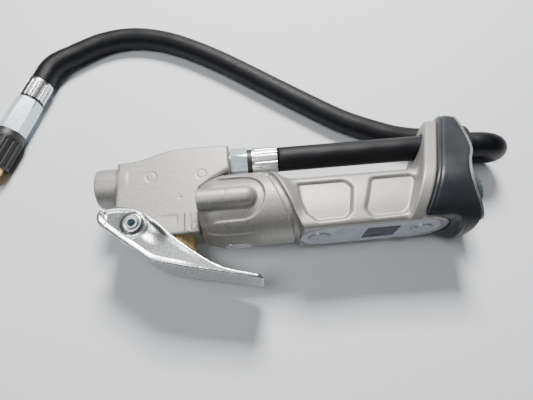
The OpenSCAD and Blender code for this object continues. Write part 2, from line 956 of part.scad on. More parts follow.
module hose_tail() {
    color("goldenrod") lying()
        along_x(ring_x - 3.4, outlet_y) {
            tube(4.9, 2, 3.3);
            translate([0, 0, 3.3])
                tube(hose_tail_r, 2, hose_x - ring_x);
        }
}

module hose() {
    color("black") placed()
        swept(curve(hose_route, 2), hose_d / 2, hose_sides);
}

module hose_grommet() {
    color("black") lying() {
        intersection() {
            along_x(100, outlet_y)
                tube(grommet_r, hose_d / 2 + 0.15, end_plate_x + 2.6 - 100);
            slab(mid_z)
                beyond_end(end_plate_t + 0.02);
        }
        along_x(end_plate_x + 2.6, outlet_y)
            tube(grommet_r - 1.8, hose_d / 2 + 0.3, 1.2);
    }
}

// Frame of the end fitting: Z runs along its heading
module at_end(l) {
    translate(end_fit)
        rotate([0, 0, end_turn])
            rotate([0, 90, 0])
                translate([0, 0, l])
                    children();
}

module end_ferrule() {
    color("gainsboro") placed()
        at_end(0)
            fluted_sleeve(end_ferrule_l);
}

module end_ring() {
    color("black") placed()
        at_end(end_ferrule_l)
            tube(7.2, hose_tail_r + fit_gap, end_ring_l);
}

module end_nut() {
    color("silver") placed()
        at_end(nut_start)
            difference() {
                intersection() {
                    linear_extrude(end_nut_l)
                        hexagon(hose_nut_af);
                    cylinder(r1 = 8.3, r2 = 9.3, h = end_nut_l);
                }
                translate([0, 0, -cut])
                    cylinder(r = 5 + fit_gap, h = end_nut_l + 2 * cut);
            }
}

module end_tail() {
    color("goldenrod") placed()
        at_end(1) {
            tube(hose_tail_r, 2, nut_start - 1);
            translate([0, 0, nut_start - 1])
                tube(5, 2, 8);
        }
}

module connector_body() {
    color("goldenrod") placed()
        at_end(body_start - 14)
            difference() {
                union() {
                    cylinder(r = 5, h = 14);
                    translate([0, 0, 14])
                        cylinder(r = 7.4, h = grip_l);
                }
                translate([0, 0, -cut])
                    cylinder(r = 2, h = 60);
                translate([0, 0, grip_l])
                    cylinder(r = valve_seal_r + fit_gap, h = valve_seal_t);
                translate([0, 0, grip_l])
                    cylinder(r = valve_bore_r, h = 20);
                translate([-15, -2.2, 14 + grip_l - 7.2])
                    cube([12, 4.4, 4.4]);
            }
}

module connector_grip() {
    color("black") placed()
        at_end(body_start + 0.2)
            difference() {
                union() {
                    cylinder(r1 = 8.6, r2 = grip_d / 2, h = 4);
                    translate([0, 0, 4])
                        cylinder(d = grip_d, h = grip_l - 13);
                }
                translate([0, 0, -cut])
                    cylinder(r = 7.4 + fit_gap, h = 60);
                for (a = [0 : 20 : 340])
                    rotate(a)
                        translate([grip_d / 2 + 0.6, 0, 6])
                            cylinder(r = 1.2, h = grip_l - 16.4, $fn = 16);
            }
}

module connector_seal() {
    color("black") placed()
        at_end(body_start + grip_l - 14)
            tube(valve_seal_r, 1.6, valve_seal_t);
}

module connector_pin() {
    color("silver") placed()
        at_end(body_start + 14)
            cylinder(r = 1.2, h = 8);
}

// Thumb clip that grips the tyre valve's thread, on the connector's upper side
module connector_clip() {
    color("silver") placed()
        at_end(clip_l)
            difference() {
                union() {
                    translate([-13, -2, -1.8])
                        cube([5, 4, 3.6]);
                    translate([-9, -2, -0.8])
                        cube([3, 4, 1.6]);
                    translate([-13, -4, -17])
                        cube([1.6, 8, 18.8]);
                }
                rotate([90, 0, 0])
                    translate([-10, 0, -6])
                        cylinder(r = 1 + fit_gap, h = 12);
            }
}

module clip_pin() {
    color("gray") placed()
        at_end(clip_l)
            rotate([90, 0, 0])
                translate([-10, 0, -4])
                    cylinder(r = 1, h = 8);
}

valve_body();
inlet_filter();
valve_cartridge();
cartridge_seal();
valve_stem();
stem_seal();
valve_spring();
lever();
lever_pin();
head_screws();
sensor_seal();
pressure_sensor();
handle();
badge_plate();
end_bumper();
end_plate();
end_plate_screws();
circuit_board();
lcd();
display_lens();
display_panel();
panel_gasket();
power_button();
mode_button();
battery_contact();
battery();
cap_spring();
battery_cap();
cap_seal();
outlet_adaptor();
outlet_nut();
nut_ring();
hose_ferrule();
hose_tail();
hose();
hose_grommet();
end_ferrule();
end_ring();
end_nut();
end_tail();
connector_body();
connector_grip();
connector_seal();
connector_pin();
connector_clip();
clip_pin();
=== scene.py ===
"""Looks of the tyre inflator: a cast valve head and handle, a plated lever, a rubber bumper and a hose."""

import json
import math

import bmesh
import bpy
import numpy as np
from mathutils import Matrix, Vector


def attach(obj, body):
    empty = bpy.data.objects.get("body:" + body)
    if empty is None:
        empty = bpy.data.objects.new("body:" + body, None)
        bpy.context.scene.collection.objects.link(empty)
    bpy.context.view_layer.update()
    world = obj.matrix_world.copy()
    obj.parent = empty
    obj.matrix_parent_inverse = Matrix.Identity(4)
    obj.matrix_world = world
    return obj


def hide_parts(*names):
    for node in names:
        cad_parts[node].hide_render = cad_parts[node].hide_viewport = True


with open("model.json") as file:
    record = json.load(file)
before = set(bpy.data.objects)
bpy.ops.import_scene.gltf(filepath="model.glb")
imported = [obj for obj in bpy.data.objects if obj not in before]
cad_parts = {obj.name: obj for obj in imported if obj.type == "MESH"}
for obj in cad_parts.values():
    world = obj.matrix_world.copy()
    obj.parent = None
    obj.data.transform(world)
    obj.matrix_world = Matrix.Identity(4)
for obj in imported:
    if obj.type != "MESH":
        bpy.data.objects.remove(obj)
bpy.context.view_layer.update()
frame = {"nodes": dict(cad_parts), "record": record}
nodes = frame["nodes"]

# The CAD's own construction frame lies this far from the row's frame, in millimetres
SHIFT = Vector((-2.25, -1.8, 0.0))
# Height of the tool's middle plane above the floor, in millimetres
MID = 24.5


# ---------------------------------------------------------------- camera and light


def look(ob, target):
    """Turn a camera or a light to face a place."""
    ob.rotation_euler = (target - ob.location).to_track_quat("-Z", "Y").to_euler()


CAMERA_PLACE = (-0.0203, -0.0815, 0.2197)
CAMERA_TARGET = (-0.01255, 0.001, 0.0245)
LENS, SENSOR = 25.53, 36.0

camera = bpy.data.objects.new("camera", bpy.data.cameras.new("camera"))
bpy.context.scene.collection.objects.link(camera)
camera.location = CAMERA_PLACE
look(camera, Vector(CAMERA_TARGET))
camera.data.lens = LENS
camera.data.sensor_width = SENSOR
camera.data.clip_start = 0.01
camera.data.dof.use_dof = False
bpy.context.scene.camera = camera


def area_light(name, place, target, size, power, colour):
    """A square lamp: places and size in metres, power in watts."""
    lamp = bpy.data.lights.new(name, "AREA")
    lamp.size = size
    lamp.energy = power
    lamp.color = colour
    ob = bpy.data.objects.new(name, lamp)
    ob.location = place
    look(ob, Vector(target))
    bpy.context.scene.collection.objects.link(ob)


area_light("key", Vector((0.05, 0.52, 0.60)), (0.0, 0.0, 0.02), 0.22, 14.0, (1.0, 0.985, 0.96))
area_light("fill", Vector((-0.30, -0.10, 0.80)), (0.0, 0.0, 0.0), 0.35, 3.2, (0.97, 0.98, 1.0))

# A dim sky, dark at the horizon and bright overhead
world = bpy.data.worlds.new("studio")
bpy.context.scene.world = world
world.use_nodes = True
tree = world.node_tree
tree.nodes.clear()
coords = tree.nodes.new("ShaderNodeTexCoord")
split = tree.nodes.new("ShaderNodeSeparateXYZ")
tree.links.new(coords.outputs["Generated"], split.inputs[0])
sky = tree.nodes.new("ShaderNodeValToRGB")
sky.color_ramp.elements[0].position = 0.0
sky.color_ramp.elements[0].color = (0.10, 0.11, 0.13, 1)
sky.color_ramp.elements[1].position = 1.0
sky.color_ramp.elements[1].color = (0.95, 0.97, 1.0, 1)
band = sky.color_ramp.elements.new(0.45)
band.color = (0.22, 0.24, 0.27, 1)
tree.links.new(split.outputs["Z"], sky.inputs["Fac"])
glow = tree.nodes.new("ShaderNodeBackground")
glow.inputs["Strength"].default_value = 0.22
tree.links.new(sky.outputs["Color"], glow.inputs["Color"])
end = tree.nodes.new("ShaderNodeOutputWorld")
tree.links.new(glow.outputs[0], end.inputs["Surface"])


# ---------------------------------------------------------------- materials


class Finish:
    """A node material: a Principled shader and short calls for its procedural nodes."""

    def __init__(self, name, metallic=0.0, roughness=0.5, **sockets):
        self.mat = bpy.data.materials.new(name)
        self.mat.use_nodes = True
        self.tree = self.mat.node_tree
        self.tree.nodes.clear()
        self.shader = self.tree.nodes.new("ShaderNodeBsdfPrincipled")
        out = self.tree.nodes.new("ShaderNodeOutputMaterial")
        self.link(self.shader.outputs[0], out.inputs["Surface"])
        self.shader.inputs["Metallic"].default_value = metallic
        self.shader.inputs["Roughness"].default_value = roughness
        for key, value in sockets.items():
            self.shader.inputs[key.replace("_", " ")].default_value = value
        self.place = self.tree.nodes.new("ShaderNodeTexCoord").outputs["Object"]

    def link(self, a, b):
        self.tree.links.new(a, b)

    def stretched(self, scale, turn=(0, 0, 0)):
        """Object coordinates scaled along each axis and turned."""
        m = self.tree.nodes.new("ShaderNodeMapping")
        m.inputs["Scale"].default_value = scale
        m.inputs["Rotation"].default_value = turn
        self.link(self.place, m.inputs["Vector"])
        return m.outputs[0]

    def noise(self, scale, detail=3.0, rough=0.55, vector=None):
        n = self.tree.nodes.new("ShaderNodeTexNoise")
        n.inputs["Scale"].default_value = scale
        n.inputs["Detail"].default_value = detail
        n.inputs["Roughness"].default_value = rough
        self.link(vector or self.place, n.inputs["Vector"])
        return n.outputs["Fac"]

    def cells(self, scale, vector=None):
        n = self.tree.nodes.new("ShaderNodeTexVoronoi")
        n.inputs["Scale"].default_value = scale
        self.link(vector or self.place, n.inputs["Vector"])
        return n.outputs["Distance"]

    def ramp(self, fac, stops):
        """Colour or value stops, each (place, colour)."""
        r = self.tree.nodes.new("ShaderNodeValToRGB")
        first, last = r.color_ramp.elements[0], r.color_ramp.elements[1]
        first.position, first.color = stops[0][0], self.rgba(stops[0][1])
        last.position, last.color = stops[-1][0], self.rgba(stops[-1][1])
        for place, colour in stops[1:-1]:
            r.color_ramp.elements.new(place).color = self.rgba(colour)
        self.link(fac, r.inputs["Fac"])
        return r.outputs["Color"]

    @staticmethod
    def rgba(c):
        return (c, c, c, 1.0) if isinstance(c, (int, float)) else (*c, 1.0)

    def mix(self, fac, a, b):
        m = self.tree.nodes.new("ShaderNodeMix")
        m.data_type = "RGBA"
        for value, socket in ((fac, m.inputs[0]), (a, m.inputs[6]), (b, m.inputs[7])):
            if isinstance(value, (int, float)):
                socket.default_value = value if socket is m.inputs[0] else self.rgba(value)
            elif isinstance(value, tuple):
                socket.default_value = self.rgba(value)
            else:
                self.link(value, socket)
        return m.outputs[2]

    def maths(self, kind, a, b=0.0):
        m = self.tree.nodes.new("ShaderNodeMath")
        m.operation = kind
        for value, socket in ((a, m.inputs[0]), (b, m.inputs[1])):
            if isinstance(value, (int, float)):
                socket.default_value = value
            else:
                self.link(value, socket)
        return m.outputs[0]

    def bump(self, height, strength, distance, under=None):
        b = self.tree.nodes.new("ShaderNodeBump")
        b.inputs["Strength"].default_value = strength
        b.inputs["Distance"].default_value = distance
        self.link(height, b.inputs["Height"])
        if under is not None:
            self.link(under, b.inputs["Normal"])
        return b.outputs[0]

    def set(self, **sockets):
        """Link outputs to the shader's sockets and hand back the material."""
        for key, value in sockets.items():
            self.link(value, self.shader.inputs[key.replace("_", " ")])
        return self.mat


def shade(colour, part):
    """A colour darkened to a part of itself."""
    return tuple(c * part for c in colour)


def cast_aluminium(name, light, dark, gleam):
    """Blasted casting: fine grain, faint clouds and small dark pits."""
    f = Finish(name, metallic=gleam, roughness=0.5)
    grain = f.noise(1700, 2.0, 0.7)
    cloud = f.noise(45, 3.0, 0.5)
    pits = f.cells(420)
    colour = f.mix(f.ramp(grain, [(0.3, 0.0), (0.72, 1.0)]), dark, light)
    colour = f.mix(f.ramp(cloud, [(0.3, 0.0), (0.75, 0.16)]), colour, shade(dark, 0.82))
    colour = f.mix(f.ramp(pits, [(0.0, 0.5), (0.09, 0.0)]), colour, shade(dark, 0.55))
    lumps = f.bump(f.noise(260, 3.0, 0.6), 0.10, 0.0006)
    normal = f.bump(grain, 0.30, 0.0003, lumps)
    return f.set(Base_Color=colour, Roughness=f.ramp(grain, [(0.2, 0.42), (0.8, 0.6)]), Normal=normal)


def plated(name, tint, rough_low, rough_high, mottle, lump):
    """Plated metal: mottle is the scale of its spangle, lump how uneven it lies."""
    f = Finish(name, metallic=1.0, roughness=0.2)
    spangle = f.noise(mottle, 4.0, 0.65)
    fine = f.noise(mottle * 3.3, 2.0, 0.6)
    colour = f.mix(f.ramp(spangle, [(0.36, 0.0), (0.62, 1.0)]), shade(tint, 0.5), tint)
    normal = f.bump(f.noise(mottle * 0.45, 3.0, 0.55), lump, 0.0008)
    normal = f.bump(fine, lump * 0.5, 0.0002, normal)
    gloss = f.ramp(spangle, [(0.3, rough_high), (0.7, rough_low)])
    return f.set(Base_Color=colour, Roughness=gloss, Normal=normal)


def turned_metal(name, tint, rough, axis_scale, streak=0.22, gleam=1.0):
    """Metal with fine tool marks: the noise is drawn out along one axis by its scale."""
    f = Finish(name, metallic=gleam, roughness=rough)
    marks = f.noise(1.0, 3.0, 0.6, f.stretched(axis_scale))
    spots = f.noise(330, 4.0, 0.6)
    colour = f.mix(f.ramp(marks, [(0.3, 0.0), (0.7, 1.0)]), shade(tint, 1 - streak), tint)
    colour = f.mix(f.ramp(spots, [(0.55, 0.0), (0.8, 0.35)]), colour, shade(tint, 0.6))
    normal = f.bump(marks, 0.12, 0.0002)
    gloss = f.ramp(marks, [(0.2, rough * 0.7), (0.8, rough * 1.5)])
    return f.set(Base_Color=colour, Roughness=gloss, Normal=normal)


def rubber(name, light, dark, rough, grain_scale=1500, sheen=0.0):
    """Matt rubber, felt or plastic, worn lighter in patches."""
    f = Finish(name, roughness=rough, Specular_IOR_Level=0.5)
    grain = f.noise(grain_scale, 2.0, 0.6)
    wear = f.noise(60, 4.0, 0.6)
    colour = f.mix(f.ramp(wear, [(0.35, 0.0), (0.75, 1.0)]), dark, light)
    normal = f.bump(grain, 0.18, 0.0002)
    f.shader.inputs["Sheen Weight"].default_value = sheen
    gloss = f.ramp(wear, [(0.3, rough * 0.85), (0.8, rough * 1.15)])
    return f.set(Base_Color=colour, Roughness=gloss, Normal=normal)


def smooth_plastic(name, light, dark, rough, metallic=0.0):
    """Smooth film or moulding with faint clouds; metallic gives a silver print."""
    f = Finish(name, metallic=metallic, roughness=rough)
    cloud = f.noise(120, 3.0, 0.5)
    speck = f.noise(2200, 1.0, 0.5)
    colour = f.mix(f.ramp(cloud, [(0.3, 0.0), (0.7, 1.0)]), dark, light)
    gloss = f.ramp(cloud, [(0.3, rough * 0.8), (0.7, rough * 1.2)])
    return f.set(Base_Color=colour, Roughness=gloss, Normal=f.bump(speck, 0.05, 0.0001))


def wrapped_hose():
    """Rubber hose with the fine crossed print of its wrapping: u runs round it, v along it in metres."""
    threads, thread_pitch, swell_pitch = 30, 0.0015, 0.021
    f = Finish("hose_rubber", roughness=0.42, Specular_IOR_Level=0.26)
    uv = f.tree.nodes.new("ShaderNodeUVMap")
    part = f.tree.nodes.new("ShaderNodeSeparateXYZ")
    f.link(uv.outputs[0], part.inputs[0])
    round_it = f.maths("MULTIPLY", part.outputs["X"], 2 * math.pi * threads)
    along = f.maths("MULTIPLY", part.outputs["Y"], 2 * math.pi / thread_pitch)
    one = f.maths("SINE", f.maths("ADD", round_it, along))
    two = f.maths("SINE", f.maths("SUBTRACT", along, round_it))
    cloth = f.maths("MULTIPLY", f.maths("ADD", one, 1.0), f.maths("ADD", two, 1.0))
    once_round = f.maths("MULTIPLY", part.outputs["X"], 2 * math.pi)
    swell = f.maths("MULTIPLY", part.outputs["Y"], 2 * math.pi / swell_pitch)
    slow = f.maths("SINE", f.maths("ADD", once_round, swell))
    dust = f.noise(500, 3.0, 0.6)
    colour = f.mix(f.ramp(dust, [(0.4, 0.0), (0.8, 1.0)]), (0.0016, 0.002, 0.0032), (0.005, 0.006, 0.009))
    normal = f.bump(cloth, 0.30, 0.00013)
    normal = f.bump(slow, 0.18, 0.0006, normal)
    return f.set(Base_Color=colour, Roughness=f.ramp(dust, [(0.2, 0.34), (0.8, 0.52)]), Normal=normal)


def display_glass():
    """Dark panel of the display with its faint cell grid."""
    f = Finish("lcd_glass", roughness=0.16)
    grid = f.tree.nodes.new("ShaderNodeTexBrick")
    grid.offset = 0.0
    grid.inputs["Scale"].default_value = 1.0
    grid.inputs["Mortar Size"].default_value = 0.012
    grid.inputs["Brick Width"].default_value = 0.5
    grid.inputs["Row Height"].default_value = 0.5
    grid.inputs["Color1"].default_value = (0.020, 0.030, 0.034, 1)
    grid.inputs["Color2"].default_value = (0.024, 0.034, 0.038, 1)
    grid.inputs["Mortar"].default_value = (0.010, 0.014, 0.016, 1)
    f.link(f.stretched((260, 1, 260), (math.pi / 2, 0, 0)), grid.inputs["Vector"])
    return f.set(Base_Color=grid.outputs["Color"], Roughness=f.ramp(f.noise(90), [(0.3, 0.12), (0.7, 0.2)]))


def clear_lens():
    """Smoked window over the display."""
    f = Finish("lens", roughness=0.04, Transmission_Weight=1.0, IOR=1.22, Specular_IOR_Level=0.1)
    return f.set(Base_Color=f.ramp(f.noise(60), [(0.3, (0.42, 0.48, 0.54)), (0.7, (0.48, 0.54, 0.60))]),
                 Roughness=f.ramp(f.noise(400, 3.0), [(0.4, 0.02), (0.8, 0.07)]))


SKIN = {
    "cast_aluminium": cast_aluminium("cast_aluminium", (0.47, 0.455, 0.43), (0.26, 0.25, 0.235), 0.62),
    "zinc_plate": plated("zinc_plate", (0.70, 0.735, 0.72), 0.20, 0.38, 800, 0.15),
    "steel_fitting": turned_metal("steel_fitting", (0.66, 0.77, 0.81), 0.30, (90, 900, 900), 0.10, 0.7),
    "bright_aluminium": turned_metal("bright_aluminium", (0.86, 0.86, 0.88), 0.26, (60, 1400, 1400)),
    "brass": turned_metal("brass", (0.90, 0.68, 0.30), 0.28, (1200, 90, 1200), 0.22, 0.85),
    "black_rubber": rubber("black_rubber", (0.020, 0.020, 0.022), (0.010, 0.010, 0.011), 0.5),
    "bumper_rubber": rubber("bumper_rubber", (0.019, 0.022, 0.027), (0.012, 0.014, 0.018), 0.42, 1300, 0.05),
    "hose_rubber": wrapped_hose(),
    "end_chrome": plated("end_chrome", (0.92, 0.94, 0.96), 0.30, 0.38, 160, 0.04),
    "cap_plastic": rubber("cap_plastic", (0.060, 0.078, 0.076), (0.040, 0.054, 0.053), 0.5, 900),
    "silver_label": smooth_plastic("silver_label", (0.60, 0.63, 0.67), (0.50, 0.53, 0.58), 0.3, 0.7),
    "button_grey": smooth_plastic("button_grey", (0.50, 0.54, 0.60), (0.42, 0.46, 0.52), 0.28, 0.5),
    "lcd_glass": display_glass(),
    "lens": clear_lens(),
    "board_green": smooth_plastic("board_green", (0.03, 0.16, 0.07), (0.02, 0.11, 0.05), 0.35),
    "cell_wrap": smooth_plastic("cell_wrap", (0.16, 0.27, 0.40), (0.12, 0.21, 0.33), 0.25),
    "spring_steel": turned_metal("spring_steel", (0.70, 0.70, 0.68), 0.22, (700, 700, 700)),
    "filter_felt": rubber("filter_felt", (0.36, 0.32, 0.25), (0.24, 0.21, 0.16), 0.9, 700),
}

# Each CAD piece wears the finish that its row names
for entry in frame["record"]["subparts"]:
    ob = nodes[entry["node"]]
    ob.data.materials.clear()
    ob.data.materials.append(SKIN[entry["material_slot"]])


# ---------------------------------------------------------------- helpers for pieces


def link(ob):
    """Put an object in the scene and hand it back."""
    bpy.context.scene.collection.objects.link(ob)
    return ob


def finish_piece(ob, body, slot, *replaced):
    """Give a piece its finish, the body that it rides and the CAD nodes that it replaces."""
    ob.data.materials.clear()
    ob.data.materials.append(SKIN[slot])
    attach(ob, body)
    if replaced:
        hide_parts(*replaced)
    return ob


def mesh_piece(name, bm, body, slot, *replaced):
    """Smooth-shaded piece from a finished bmesh."""
    me = bpy.data.meshes.new(name)
    bmesh.ops.recalc_face_normals(bm, faces=bm.faces)
    bm.to_mesh(me)
    bm.free()
    for p in me.polygons:
        p.use_smooth = True
    return finish_piece(link(bpy.data.objects.new(name, me)), body, slot, *replaced)


def spline(points, steps):
    """Catmull-Rom curve through the points."""
    out = []
    last = len(points) - 1
    for i in range(last):
        a, b, c, d = points[max(i - 1, 0)], points[i], points[i + 1], points[min(i + 2, last)]
        for k in range(steps):
            t = k / steps
            out.append((2 * b + (c - a) * t + (2 * a - 5 * b + 4 * c - d) * t * t
                        + (3 * b - a - 3 * c + d) * t ** 3) / 2)
    out.append(points[last])
    return out


def tube(bm, path, radius, sides, uv):
    """Sweep a round section along a path; uv gets u round the tube and v along it in metres."""
    count = len(path)
    rings = []
    along = [0.0]
    for i in range(1, count):
        along.append(along[-1] + (path[i] - path[i - 1]).length)
    side = None
    for i, p in enumerate(path):
        heading = (path[min(i + 1, count - 1)] - path[max(i - 1, 0)]).normalized()
        if side is None:
            side = heading.cross(Vector((0, 0.35, 1))).normalized()
        side = (side - heading * side.dot(heading)).normalized()
        up = heading.cross(side)
        ring = []
        for k in range(sides):
            turn = 2 * math.pi * k / sides
            ring.append(bm.verts.new(p + radius * (math.cos(turn) * side + math.sin(turn) * up)))
        rings.append(ring)
    for i in range(count - 1):
        for k in range(sides):
            m = (k + 1) % sides
            face = bm.faces.new((rings[i][k], rings[i][m], rings[i + 1][m], rings[i + 1][k]))
            ends = ((i, k), (i, k + 1), (i + 1, k + 1), (i + 1, k))
            for loop, (row, col) in zip(face.loops, ends):
                loop[uv].uv = (col / sides, along[row])
    bm.faces.new(rings[0][::-1])
    bm.faces.new(rings[-1])


# ---------------------------------------------------------------- hose

# Centre line in the construction frame, z from the floor: out of the head's fitting, through the
# bumper's loop, round and down to the floor, and back past the head to the far fitting
ROUTE = [
    (-2, 27.8, 24.5), (44, 27.8, 24.5), (96, 27.8, 24.5), (106, 27.8, 24.5), (110.4, 27.8, 24.5),
    (114.46, 27.36, 24.81), (118.71, 26.65, 25.43), (123.48, 25.96, 25.22), (127.76, 25.66, 23.35),
    (130.8, 25.95, 19.91), (131.91, 26.91, 15.55), (130.81, 28.49, 11.34), (127.78, 30.46, 8.38),
    (123.58, 32.57, 7.25), (118.49, 34.81, 7.4), (114.4, 36.8, 7.2), (109.6, 39.2, 7.2), (104, 41.6, 7.2),
    (97, 43.4, 7.2), (88, 44.7, 7.2), (76, 48, 7.2), (60, 55.2, 7.2), (44, 64, 7.2), (26, 77, 7.2),
    (8, 90.6, 7.2), (-12, 106, 7.2), (-32, 121, 7.2), (-52, 134, 7.2), (-70, 143.4, 7.2), (-88, 148.8, 7.2),
    (-104, 149.6, 7.2), (-119, 146.2, 7.4), (-132, 139.6, 7.8), (-137.94, 135.81, 8.1),
    (-144.06, 131.87, 8.75), (-149.37, 127.32, 9.4), (-152.9, 121.68, 9.7), (-154.26, 117.92, 9.7),
    (-155.63, 114.16, 9.7), (-157, 110.4, 9.7),
]
HOSE_D = 0.0144
HOSE_SIDES, CURVE_STEPS = 40, 10

line = spline([(Vector(p) + SHIFT) / 1000.0 for p in ROUTE], CURVE_STEPS)

bm = bmesh.new()
uv_layer = bm.loops.layers.uv.new("wrap")
tube(bm, line, HOSE_D / 2, HOSE_SIDES, uv_layer)
hose = mesh_piece("hose_tube", bm, "inflator", "hose_rubber", "hose")

# ---------------------------------------------------------------- distance fields
# Shapes are signed distances in millimetres in the construction frame, z from the middle plane,
# and skin() turns one into a mesh. Open grids keep flat outlines two-dimensional and quick.


def polygon_distance(points, x, y):
    """Signed distance to a polygon, negative inside."""
    nearest = None
    inside = None
    for (ax, ay), (bx, by) in zip(points, points[1:] + points[:1]):
        ex, ey = bx - ax, by - ay
        wx, wy = x - ax, y - ay
        t = np.clip((wx * ex + wy * ey) / (ex * ex + ey * ey), 0, 1)
        d = (wx - ex * t) ** 2 + (wy - ey * t) ** 2
        rise = ey if ey else 1e-9
        crossed = ((ay > y) != (by > y)) & (x < (y - ay) * ex / rise + ax)
        nearest = d if nearest is None else np.minimum(nearest, d)
        inside = crossed if inside is None else inside ^ crossed
    return np.where(inside, -1, 1) * np.sqrt(nearest)


def rounded(a, b, r):
    """Overlap of two fields with its edge rounded by r."""
    a, b = a + r, b + r
    return np.minimum(np.maximum(a, b), 0) + np.hypot(np.maximum(a, 0), np.maximum(b, 0)) - r


def plate(outline, height, half, r):
    """Flat outline given thickness on both sides, with edges rounded by r."""
    return rounded(outline, np.abs(height) - half, r)


def melt(a, b, k):
    """Union with a fillet of about k."""
    h = np.clip(0.5 + 0.5 * (b - a) / k, 0, 1)
    return b * (1 - h) + a * h - k * h * (1 - h)


def carve(a, b, k):
    """a with b taken away, the new edge softened by about k."""
    return -melt(-a, b, k)


def step(low, high, v):
    """Smooth rise from 0 at low to 1 at high."""
    t = np.clip((v - low) / (high - low), 0, 1)
    return t * t * (3 - 2 * t)


def line_mark(d, width):
    """Narrow bell round d = 0, for seams and scribed lines."""
    return np.exp(-(d / width) ** 2)


def skin(name, field, low, high, pitch, body, slot, *replaced):
    """Mesh of a field by surface nets: one vertex in each cell that the surface crosses."""
    axes = [np.arange(a, b + pitch, pitch) for a, b in zip(low, high)]
    values = field(axes[0][:, None, None], axes[1][None, :, None], axes[2][None, None, :])
    grid = np.broadcast_to(values, [len(a) for a in axes])
    cells = np.array(grid.shape) - 1
    total = np.zeros((*cells, 3))
    count = np.zeros(cells)
    edges = []
    for axis in range(3):
        one, two = [o for o in range(3) if o != axis]
        first, second = [slice(None)] * 3, [slice(None)] * 3
        first[axis], second[axis] = slice(0, -1), slice(1, None)
        f0, f1 = grid[tuple(first)], grid[tuple(second)]
        where = np.array(np.nonzero((f0 < 0) != (f1 < 0)))
        v0, v1 = f0[tuple(where)], f1[tuple(where)]
        place = where.astype(float)
        place[axis] += v0 / (v0 - v1)
        around = []
        for d1, d2 in ((0, 0), (1, 0), (1, 1), (0, 1)):
            cell = where.copy()
            cell[one] -= d1
            cell[two] -= d2
            np.add.at(total, tuple(cell), place.T)
            np.add.at(count, tuple(cell), 1)
            around.append(cell)
        edges.append((axis, v0 < 0, around))
    used = count > 0
    index = np.full(cells, -1)
    index[used] = np.arange(used.sum())
    spots = total[used] / count[used][:, None] * pitch + np.array(low)
    spots[:, 2] += MID
    spots = (spots + np.array(SHIFT)) / 1000
    quads = []
    for axis, leaving, around in edges:
        quad = np.stack([index[tuple(cell)] for cell in around], axis=1)
        turned = leaving ^ (axis == 1)
        quads.append(np.where(turned[:, None], quad, quad[:, ::-1]))
    me = bpy.data.meshes.new(name)
    me.from_pydata(spots.tolist(), [], np.concatenate(quads).tolist())
    me.validate()
    me.shade_smooth()
    ob = link(bpy.data.objects.new(name, me))
    return finish_piece(ob, body, slot, *replaced)


def flat_curve(points, steps):
    """Catmull-Rom curve through points in a plane."""
    return [(v.x, v.y) for v in spline([Vector((*p, 0)) for p in points], steps)]


def bore(d, wall, end, r):
    """A field with a hole taken out, given the fields of its wall and its end; r softens the edge."""
    hole = np.maximum(wall, end)
    return carve(d, hole, r) if r else np.maximum(d, -hole)


# ---------------------------------------------------------------- valve head

HEAD_TOP = [(-90.8, 28), (-82, 28.6), (-74.5, 30.3), (-67, 32.7), (-60, 34.2), (-46, 34.6), (-29.2, 34.2)]
HEAD_LOW = [(-29.2, 18.9), (-33, 17), (-40, 13), (-46.2, 8), (-46.2, -16.5),
            (-72, -16.5), (-86.6, -9), (-90.8, 0)]
HEAD_HALF, HEAD_EDGE = 11.0, 1.9
# Lever's hinge: its place, the lug round it and the pin's hole
PIVOT = (-79.8, -9.8)
LUG_R, PIN_HOLE_R = 6.8, 3.06
# Marks that the mould leaves: rings of ejector pins, each (x, y, radius), and one dot
EJECTOR_RINGS = [(-72, 17.6, 2.7), (-44.8, 17, 2.5), (-49.2, -13.2, 2.1)]
DOT = (-56.3, 4.2)
# Axes of the valve, the hose outlet, the air inlet and the barrel
VALVE_X, OUTLET_Y, INLET_Y = -58.5, 27.8, 17.8
AXIS_Y, BARREL_R = -2.1, 20.2
# Inlet boss and outlet collar, each (radius, middle, half length)
BOSS = (11, -94, 9)
COLLAR = (7.6, -36, 6.8)
# Inlet thread, with the chamfer at its mouth, and the smaller passages behind it, each (radius, end)
THREAD_R, THREAD_END, CHAMFER_X = 5.75, -90, -101.8
PASSAGES = [(5.0, -88), (3.0, -60)]
OUTLET_BORE_R, OUTLET_BORE_END = 6.05, -41.2
# Valve chamber and its wider mouth, each (radius, end)
CHAMBER = (6.05, 12)
CHAMBER_MOUTH = (7.05, -6.5)
# Round nose of the handle: radius at each x, and the head's clearance over it
SHOULDER = ([-46.3, -46.2, -41.7, -37.2, -33.2, 10], [0, 15.4, 17.8, 19.3, 20.2, 20.2])
NOSE_X, NOSE_GAP = -46.2, 0.2
# Deep enough that nothing is hollowed left of the nose's face
OUT_OF_REACH = 30


def head_face(x, y):
    """Half thickness of the head: two low steps beside the handle, a shallow recess and mould marks."""
    low_right = 1 - step(-5.3, -4.7, y)
    half = HEAD_HALF + 0.45 * step(-54.3, -53.7, x) * low_right
    half = half + 0.22 * step(-50.6, -50.2, x) * low_right
    recess = step(-70, -64, x) * (1 - step(-58, -57.2, x)) * (1 - step(-5.9, -5.3, y)) * step(-13, -6, y)
    half = half - 0.3 * recess
    for ring_x, ring_y, ring_r in EJECTOR_RINGS:
        rho = np.hypot(x - ring_x, y - ring_y)
        half = half - 0.3 * line_mark(rho - ring_r, 0.32) - 0.05 * (1 - step(ring_r - 0.3, ring_r, rho))
    return half - 0.5 * line_mark(np.hypot(x - DOT[0], y - DOT[1]), 0.55)


